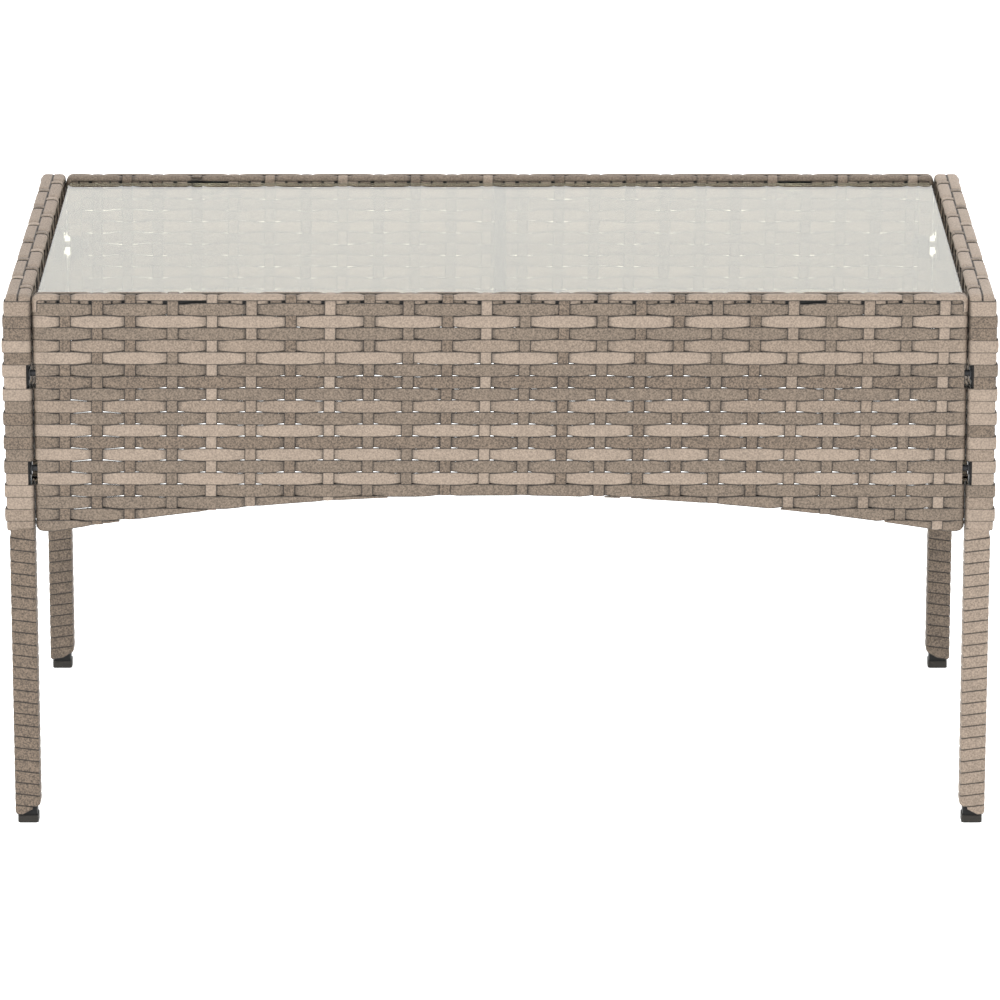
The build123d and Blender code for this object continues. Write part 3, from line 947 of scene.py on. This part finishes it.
# ---------------------------------------------------------------- materials


def new_material(name):
    """A material with its shader and output, ready for its other nodes."""
    material = bpy.data.materials.new(name)
    material.use_nodes = True
    tree = material.node_tree
    return material, tree, tree.nodes["Principled BSDF"]


def grain_group():
    """Fine pebbled grain, as a mask and as a height."""
    name = "Pebbled Grain"
    if name in bpy.data.node_groups:
        return bpy.data.node_groups[name]
    group = bpy.data.node_groups.new(name, "ShaderNodeTree")
    group.interface.new_socket("Vector", in_out="INPUT", socket_type="NodeSocketVector")
    scale = group.interface.new_socket("Scale", in_out="INPUT", socket_type="NodeSocketFloat")
    scale.default_value = 700
    group.interface.new_socket("Mask", in_out="OUTPUT", socket_type="NodeSocketFloat")
    group.interface.new_socket("Height", in_out="OUTPUT", socket_type="NodeSocketFloat")
    source = group.nodes.new("NodeGroupInput")
    result = group.nodes.new("NodeGroupOutput")
    noise = group.nodes.new("ShaderNodeTexNoise")
    noise.inputs["Detail"].default_value = 2.5
    noise.inputs["Roughness"].default_value = 0.6
    spread = group.nodes.new("ShaderNodeMapRange")
    spread.inputs["From Min"].default_value = 0.33
    spread.inputs["From Max"].default_value = 0.67
    pebbles = group.nodes.new("ShaderNodeTexVoronoi")
    pebbles.feature = "SMOOTH_F1"
    join = group.nodes.new("ShaderNodeMath")
    join.operation = "SUBTRACT"
    pairs = (
        (source.outputs["Vector"], noise.inputs["Vector"]),
        (source.outputs["Scale"], noise.inputs["Scale"]),
        (source.outputs["Vector"], pebbles.inputs["Vector"]),
        (source.outputs["Scale"], pebbles.inputs["Scale"]),
        (noise.outputs["Fac"], spread.inputs["Value"]),
        (spread.outputs["Result"], result.inputs["Mask"]),
        (noise.outputs["Fac"], join.inputs[0]),
        (pebbles.outputs["Distance"], join.inputs[1]),
        (join.outputs["Value"], result.inputs["Height"]),
    )
    for output, socket in pairs:
        group.links.new(output, socket)
    return group


def add_grain(tree, scale):
    """A grain node on the object's own coordinates."""
    place = tree.nodes.new("ShaderNodeTexCoord")
    grain = tree.nodes.new("ShaderNodeGroup")
    grain.node_tree = grain_group()
    grain.inputs["Scale"].default_value = scale
    tree.links.new(place.outputs["Object"], grain.inputs["Vector"])
    return grain


def add_bump(tree, shader, height, strength, distance):
    """A bump from a height, on the shader's normal."""
    bump = tree.nodes.new("ShaderNodeBump")
    bump.inputs["Strength"].default_value = strength
    bump.inputs["Distance"].default_value = distance
    tree.links.new(height, bump.inputs["Height"])
    tree.links.new(bump.outputs["Normal"], shader.inputs["Normal"])


def map_range(tree, value, low, high, span=(0, 1)):
    """A value from one end of its span to the other, spread from low to high."""
    node = tree.nodes.new("ShaderNodeMapRange")
    node.inputs["From Min"].default_value = span[0]
    node.inputs["From Max"].default_value = span[1]
    node.inputs["To Min"].default_value = low
    node.inputs["To Max"].default_value = high
    tree.links.new(value, node.inputs["Value"])
    return node.outputs["Result"]


def mix_colours(tree, share, first, second):
    """A colour between two others, each a socket or a tuple of four values."""
    node = tree.nodes.new("ShaderNodeMix")
    node.data_type = "RGBA"
    tree.links.new(share, node.inputs["Factor"])
    for socket, value in (("A", first), ("B", second)):
        if isinstance(value, tuple):
            node.inputs[socket].default_value = value
        else:
            tree.links.new(value, node.inputs[socket])
    return node.outputs["Result"]


def scale_colour(tree, colour, level):
    """A colour made lighter or darker by a level. The colour is a socket or a tuple."""
    node = tree.nodes.new("ShaderNodeVectorMath")
    node.operation = "SCALE"
    if isinstance(colour, tuple):
        node.inputs[0].default_value = colour
    else:
        tree.links.new(colour, node.inputs[0])
    tree.links.new(level, node.inputs["Scale"])
    return node.outputs["Vector"]


def calculate(tree, operation, *values):
    """A Math node on its values, each a socket or a number."""
    node = tree.nodes.new("ShaderNodeMath")
    node.operation = operation
    for index, value in enumerate(values):
        if isinstance(value, (int, float)):
            node.inputs[index].default_value = value
        else:
            tree.links.new(value, node.inputs[index])
    return node.outputs["Value"]


def strand_value(tree, name):
    """One of the strand's own values."""
    node = tree.nodes.new("ShaderNodeAttribute")
    node.attribute_name = name
    return node.outputs["Fac"]


def painted_edge_shade(tree):
    """Painted shade: darker along both edges of a strand, and 1 elsewhere."""
    return map_range(tree, strand_value(tree, "inset"), EDGE_SHADE, 1, EDGE_LINE)


def wicker_material():
    """Matt polyethylene strand in four tones, pebbled and speckled, with painted shade in its creases and
    along its edges.
    """
    if "wicker_strand" in bpy.data.materials:
        return bpy.data.materials["wicker_strand"]
    colours = bpy.context.scene.table_colours
    material, tree, shader = new_material("wicker_strand")
    ramp = tree.nodes.new("ShaderNodeValToRGB")
    places = [TONES[tone][0] for tone in "DMBL"]
    shades = (colours.dark_strand, colours.taupe_strand, colours.beige_strand, colours.light_strand)
    for place in places[1:3]:
        ramp.color_ramp.elements.new(place)
    for element, place, shade in zip(ramp.color_ramp.elements, places, shades):
        element.position = place
        element.color = (*shade, 1)
    tree.links.new(strand_value(tree, "tone"), ramp.inputs["Fac"])
    grain = add_grain(tree, WICKER_GRAIN)
    cloud = add_grain(tree, WICKER_CLOUD)
    speckle = calculate(tree, "SUBTRACT", grain.outputs["Mask"], SPECKLE_MIDDLE)
    contrast = map_range(tree, strand_value(tree, "speckle"), *WICKER_CONTRAST)
    speckle = calculate(tree, "MULTIPLY", speckle, contrast)
    drift = map_range(tree, cloud.outputs["Mask"], *WICKER_DRIFT)
    bright = calculate(tree, "ADD", calculate(tree, "ADD", speckle, drift), 1)
    # Painted shade beside crossing strands, where stakes dive, at the seams and on the rear legs
    shadow = map_range(tree, strand_value(tree, "crease"), 1, CREASE_SHADE)
    bright = calculate(tree, "MULTIPLY", bright, shadow)
    # Painted shade along the strand's edges
    bright = calculate(tree, "MULTIPLY", bright, painted_edge_shade(tree))
    tree.links.new(scale_colour(tree, ramp.outputs["Color"], bright), shader.inputs["Base Color"])
    rough = map_range(tree, grain.outputs["Mask"], *WICKER_ROUGHNESS)
    tree.links.new(rough, shader.inputs["Roughness"])
    shader.inputs["Specular IOR Level"].default_value = WICKER_GLOSS
    add_bump(tree, shader, grain.outputs["Height"], *WICKER_BUMP)
    return material


def coated_material(name, colour, roughness, scale, bump):
    """A dark matt finish with a fine grain: powder coat, black oxide or moulded plastic."""
    material, tree, shader = new_material(name)
    grain = add_grain(tree, scale)
    level = map_range(tree, grain.outputs["Mask"], *COATING_TONES)
    tree.links.new(scale_colour(tree, tuple(colour), level), shader.inputs["Base Color"])
    spread = (roughness - COATING_SPREAD, roughness + COATING_SPREAD)
    rough = map_range(tree, grain.outputs["Mask"], *spread)
    tree.links.new(rough, shader.inputs["Roughness"])
    shader.inputs["Specular IOR Level"].default_value = COATING_GLOSS
    add_bump(tree, shader, grain.outputs["Height"], bump, COATING_DEPTH)
    return material


def glass_material(colour):
    """Clear tempered glass, pale green where it is seen through its edge."""
    material, tree, shader = new_material("tempered_glass")
    surface = tree.nodes.new("ShaderNodeNewGeometry")
    parts = tree.nodes.new("ShaderNodeSeparateXYZ")
    tree.links.new(surface.outputs["Normal"], parts.inputs["Vector"])
    level = calculate(tree, "ABSOLUTE", parts.outputs["Z"])
    slant = tree.nodes.new("ShaderNodeLayerWeight")
    thick = map_range(tree, slant.outputs["Facing"], 0, 1, GLASS_TURN)
    face = mix_colours(tree, thick, GLASS_CLEAR, GLASS_SLANT)
    tree.links.new(mix_colours(tree, level, (*colour, 1), face), shader.inputs["Base Color"])
    smear = add_grain(tree, GLASS_SMEAR)
    rough = map_range(tree, smear.outputs["Mask"], *GLASS_ROUGHNESS)
    tree.links.new(rough, shader.inputs["Roughness"])
    shader.inputs["IOR"].default_value = GLASS_IOR
    shader.inputs["Transmission Weight"].default_value = 1
    return material


def pad_material():
    """Clear soft vinyl with a faint haze."""
    material, tree, shader = new_material("clear_vinyl")
    haze = add_grain(tree, VINYL_HAZE)
    shade = mix_colours(tree, haze.outputs["Mask"], *VINYL_SHADES)
    tree.links.new(shade, shader.inputs["Base Color"])
    rough = map_range(tree, haze.outputs["Mask"], *VINYL_ROUGHNESS)
    tree.links.new(rough, shader.inputs["Roughness"])
    shader.inputs["IOR"].default_value = VINYL_IOR
    shader.inputs["Transmission Weight"].default_value = 1
    return material


def floor_material():
    """A pale studio floor with the faintest unevenness."""
    material, tree, shader = new_material("studio_floor")
    cloud = add_grain(tree, FLOOR_CLOUD)
    shade = mix_colours(tree, cloud.outputs["Mask"], *FLOOR_SHADES)
    tree.links.new(shade, shader.inputs["Base Color"])
    shader.inputs["Roughness"].default_value = FLOOR_ROUGHNESS
    shader.inputs["Specular IOR Level"].default_value = FLOOR_GLOSS
    shader.inputs["Emission Color"].default_value = WHITE
    shader.inputs["Emission Strength"].default_value = FLOOR_GLOW
    return material


def dress(nodes, material):
    """Gives CAD nodes a material in place of their plain one."""
    for name in nodes:
        slots = frame["nodes"][name].material_slots
        if not slots:
            raise RuntimeError(f"{name} has no material slot")
        for slot in slots:
            slot.material = material


# ---------------------------------------------------------------- operators


class PanelRows(bpy.types.Operator):
    """Weave the rows of the front and rear panels."""

    bl_idname = "coffee_table.panel_rows"
    bl_label = "Panel Rows"

    def execute(self, context):
        sizes = context.scene.table_sizes
        rows = [strand for row in ROWS for strand in panel_row(sizes, row)]
        for face in FACES:
            nodes = [f"{face}_weave_sheet", f"{face}_left_end_wrap", f"{face}_right_end_wrap"]
            lay_strands(f"{face}_panel_rows", both_panels(rows, face), sizes.strand_thickness, nodes)
        return {"FINISHED"}


class PanelStakes(bpy.types.Operator):
    """Set the upright strands of the front and rear panels."""

    bl_idname = "coffee_table.panel_stakes"
    bl_label = "Panel Stakes"

    def execute(self, context):
        sizes = context.scene.table_sizes
        stakes = [panel_stake(sizes, k, place) for k, place in enumerate(stake_places(sizes))]
        for face in FACES:
            lay_strands(f"{face}_panel_stakes", both_panels(stakes, face), sizes.strand_thickness, [])
        return {"FINISHED"}


class PanelRings(bpy.types.Operator):
    """Wrap the top rails and the arched tubes of the panels."""

    bl_idname = "coffee_table.panel_rings"
    bl_label = "Panel Rings"

    def execute(self, context):
        sizes = context.scene.table_sizes
        for face in FACES:
            top = both_panels(panel_rings(sizes, "top"), face)
            lay_strands(f"{face}_top_rail_rings", top, RING_THICKNESS, [])
            arch = both_panels(panel_rings(sizes, "arch"), face)
            lay_strands(f"{face}_arch_rings", arch, RING_THICKNESS, [f"{face}_arch_wrap"])
        return {"FINISHED"}


class PanelTopStrands(bpy.types.Operator):
    """Lay the two lengthwise strands over each panel's top rail."""

    bl_idname = "coffee_table.panel_top_strands"
    bl_label = "Panel Top Strands"

    def execute(self, context):
        sizes = context.scene.table_sizes
        for face in FACES:
            strands = both_panels(panel_top_strands(sizes), face)
            lay_strands(f"{face}_top_strands", strands, sizes.strand_thickness, [f"{face}_top_rail_wrap"])
        return {"FINISHED"}


class SideRows(bpy.types.Operator):
    """Weave the rows of the sides, round both legs."""

    bl_idname = "coffee_table.side_rows"
    bl_label = "Side Rows"

    def execute(self, context):
        sizes = context.scene.table_sizes
        for side in SIDES:
            rows = both_sides([side_row(sizes, row, side) for row in ROWS], side)
            lay_strands(f"{side}_side_rows", rows, sizes.strand_thickness, [f"{side}_weave_sheet"])
        return {"FINISHED"}


class SideStakes(bpy.types.Operator):
    """Set the upright strands of the sides."""

    bl_idname = "coffee_table.side_stakes"
    bl_label = "Side Stakes"

    def execute(self, context):
        sizes = context.scene.table_sizes
        stakes = [side_stake(sizes, k, place) for k, place in enumerate(side_stake_places())]
        for side in SIDES:
            lay_strands(f"{side}_side_stakes", both_sides(stakes, side), sizes.strand_thickness, [])
        return {"FINISHED"}


class SideRings(bpy.types.Operator):
    """Wrap the top and lower rails of the sides."""

    bl_idname = "coffee_table.side_rings"
    bl_label = "Side Rings"

    def execute(self, context):
        sizes = context.scene.table_sizes
        for side in SIDES:
            top = both_sides(side_rings(sizes, "top", SIDE_RAIL_Z, LEG_HALF - LEG_Y), side)
            lay_strands(f"{side}_top_rail_rings", top, sizes.strand_thickness, [])
            low = both_sides(side_rings(sizes, "lower", LOWER_RAIL_Z, -LEG_Y - SIDE_SKIN), side)
            nodes = [f"{side}_lower_rail_wrap"]
            lay_strands(f"{side}_lower_rail_rings", low, sizes.strand_thickness, nodes)
        return {"FINISHED"}


class SideTopStrands(bpy.types.Operator):
    """Lay the two lengthwise strands over each side's top rail."""

    bl_idname = "coffee_table.side_top_strands"
    bl_label = "Side Top Strands"

    def execute(self, context):
        sizes = context.scene.table_sizes
        for side in SIDES:
            strands = both_sides(side_top_strands(sizes, side), side)
            lay_strands(f"{side}_top_strands", strands, SIDE_FOLD_THICKNESS, [f"{side}_top_rail_wrap"])
        return {"FINISHED"}


class LegStrands(bpy.types.Operator):
    """Wind a strand round each leg."""

    bl_idname = "coffee_table.leg_strands"
    bl_label = "Leg Strands"

    def execute(self, context):
        sizes = context.scene.table_sizes
        for side in SIDES:
            for face in FACES:
                leg = f"{side}_{face}"
                strands = both_panels(both_sides(leg_strand(sizes, *LEG_TONES[leg]), side), face)
                lay_strands(f"{leg}_leg_strand", strands, LEG_THICKNESS, [f"{leg}_leg_wrap"])
        return {"FINISHED"}


class FrameFinish(bpy.types.Operator):
    """Coat the tubes, the feet and the fasteners."""

    bl_idname = "coffee_table.frame_finish"
    bl_label = "Frame Finish"

    def execute(self, context):
        colours = context.scene.table_colours
        by_slot = {}
        for row in frame["record"]["subparts"]:
            by_slot.setdefault(row["material_slot"], []).append(row["node"])
        for slot, (name, shade, roughness, scale, bump) in COATINGS.items():
            dress(by_slot[slot], coated_material(name, getattr(colours, shade), roughness, scale, bump))
        return {"FINISHED"}


class GlassFinish(bpy.types.Operator):
    """Make the top clear glass and its pads clear vinyl."""

    bl_idname = "coffee_table.glass_finish"
    bl_label = "Glass Finish"

    def execute(self, context):
        dress(["glass_top"], glass_material(context.scene.table_colours.glass_edge))
        pads = [f"{face}_{side}_pad" for face in FACES for side in SIDES]
        dress(pads, pad_material())
        return {"FINISHED"}


def add_area_light(name, place, size, power):
    """A soft square light that faces the middle of the table."""
    aim = Vector((0, 0, TABLE_TOP / 2))
    bpy.ops.object.light_add(type="AREA", location=place)
    light = bpy.context.active_object
    light.name = name
    light.data.size = size
    light.data.energy = power
    light.rotation_mode = "QUATERNION"
    light.rotation_quaternion = (aim - Vector(place)).to_track_quat("-Z", "Y")


class Stage(bpy.types.Operator):
    """Set out the pale floor, the soft light and the camera."""

    bl_idname = "coffee_table.stage"
    bl_label = "Stage"

    def execute(self, context):
        bpy.ops.object.select_all(action="DESELECT")
        bpy.ops.mesh.primitive_plane_add(size=FLOOR_SIZE)
        floor = context.active_object
        floor.name = "studio_floor"
        floor.data.materials.append(floor_material())
        world = bpy.data.worlds.new("studio")
        world.use_nodes = True
        sky = world.node_tree.nodes["Background"]
        sky.inputs["Color"].default_value = WHITE
        sky.inputs["Strength"].default_value = SKY_STRENGTH
        context.scene.world = world
        for name, (place, size, power) in LIGHTS.items():
            add_area_light(name, place, size, power)
        context.scene.view_settings.view_transform = "Standard"
        back = Vector((0, -math.cos(CAMERA_PITCH), math.sin(CAMERA_PITCH)))
        place = Vector(CAMERA_AIM) + back * CAMERA_DISTANCE
        bpy.ops.object.camera_add(location=place, rotation=(math.pi / 2 - CAMERA_PITCH, 0, 0))
        camera = context.active_object
        camera.name = "studio_camera"
        camera.data.lens = CAMERA_LENS
        camera.data.clip_end = CAMERA_REACH
        context.scene.camera = camera
        return {"FINISHED"}


OPERATORS = (
    PanelRows, PanelStakes, PanelRings, PanelTopStrands, SideRows, SideStakes,
    SideRings, SideTopStrands, LegStrands, FrameFinish, GlassFinish, Stage,
)


class CoffeeTablePanel(bpy.types.Panel):
    """Lists the steps that make the coffee table."""

    bl_idname = "VIEW3D_PT_coffee_table"
    bl_label = "Coffee Table"
    bl_space_type = "VIEW_3D"
    bl_region_type = "UI"
    bl_category = "Coffee Table"

    def draw(self, context):
        for operator in OPERATORS:
            self.layout.operator(operator.bl_idname)
        for group in (context.scene.table_sizes, context.scene.table_colours):
            for name in group.bl_rna.properties.keys():
                if name not in {"rna_type", "name"}:
                    self.layout.prop(group, name)


CLASSES = (TableSizes, TableColours, *OPERATORS, CoffeeTablePanel)


def register():
    for cls in CLASSES:
        bpy.utils.register_class(cls)
    bpy.types.Scene.table_sizes = bpy.props.PointerProperty(type=TableSizes)
    bpy.types.Scene.table_colours = bpy.props.PointerProperty(type=TableColours)


def unregister():
    del bpy.types.Scene.table_colours
    del bpy.types.Scene.table_sizes
    for cls in reversed(CLASSES):
        bpy.utils.unregister_class(cls)


def main():
    register()
    for operator in OPERATORS:
        group, name = operator.bl_idname.split(".")
        getattr(getattr(bpy.ops, group), name)()


if __name__ == "__main__":
    main()
